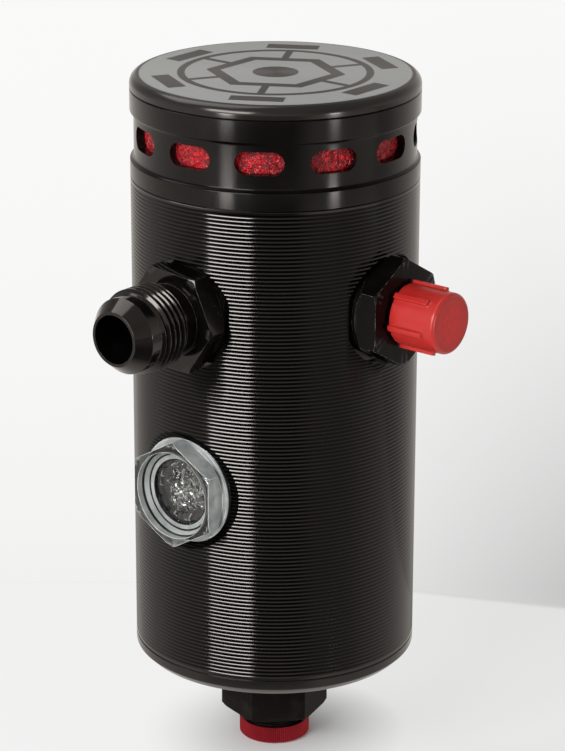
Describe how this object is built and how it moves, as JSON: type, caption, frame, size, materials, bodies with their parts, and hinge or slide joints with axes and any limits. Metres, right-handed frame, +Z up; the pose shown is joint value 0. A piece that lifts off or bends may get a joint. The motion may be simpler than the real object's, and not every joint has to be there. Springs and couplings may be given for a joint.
{
  "type": "oil catch can",
  "caption": "Turned black can that catches oil from engine vapour, with a foam breather under a push-in lid, threaded ports, a clear level window and a capped drain.",
  "frame": {"origin": "centre of the drain cap's flat foot, on the can's axis", "axes": "+Z up along the can's axis; the large port and the sight glass face -Y; the small capped port faces +X"},
  "size_m": [0.096, 0.102, 0.1881],
  "materials": {
    "black_anodised": "satin black anodised, turned",
    "black_fitting": "bright black anodised, turned from hexagon bar",
    "red_anodised": "red anodised, fine straight knurl",
    "red_plastic": "moulded, slightly see-through",
    "clear_plastic": "clear, frosted on the wrench flats",
    "red_foam": "open-cell filter foam",
    "steel_wool": "coarse stainless wool",
    "stainless_sheet": "punched sheet",
    "seal_rubber": "moulded nitrile"
  },
  "bodies": {
    "can": {"can_body": "black_anodised", "base_cap": "black_anodised", "base_o_ring": "seal_rubber", "large_port_fitting": "black_fitting", "large_port_o_ring": "seal_rubber", "small_port_fitting": "black_fitting", "small_port_o_ring": "seal_rubber", "sight_glass": "clear_plastic", "sight_glass_o_ring": "seal_rubber", "drain_adapter": "black_fitting", "drain_o_ring": "seal_rubber", "baffle_plate": "stainless_sheet", "wool_pad": "steel_wool"},
    "breather_head": {"breather_ring": "black_anodised", "breather_o_ring": "seal_rubber", "foam_filter": "red_foam"},
    "lid": {"breather_lid": "black_anodised", "lid_o_ring": "seal_rubber"},
    "dust_cap": {"small_port_dust_cap": "red_plastic"},
    "drain_closure": {"drain_cap": "red_anodised", "drain_cap_gasket": "seal_rubber"}
  },
  "joints": [
    {"name": "head_lift", "type": "slide", "parent": "can", "child": "breather_head", "axis": [0, 0, 1], "range_m": [0, 0.035]},
    {"name": "lid_lift", "type": "slide", "parent": "breather_head", "child": "lid", "axis": [0, 0, 1], "range_m": [0, 0.025]},
    {"name": "dust_cap_pull", "type": "slide", "parent": "can", "child": "dust_cap", "axis": [1, 0, 0], "range_m": [0, 0.025]},
    {"name": "drain_cap_turn", "type": "hinge", "parent": "can", "child": "drain_closure", "pos_m": [0, 0, 0.002], "axis": [0, 0, -1], "range_deg": [0, 540]}
  ]
}
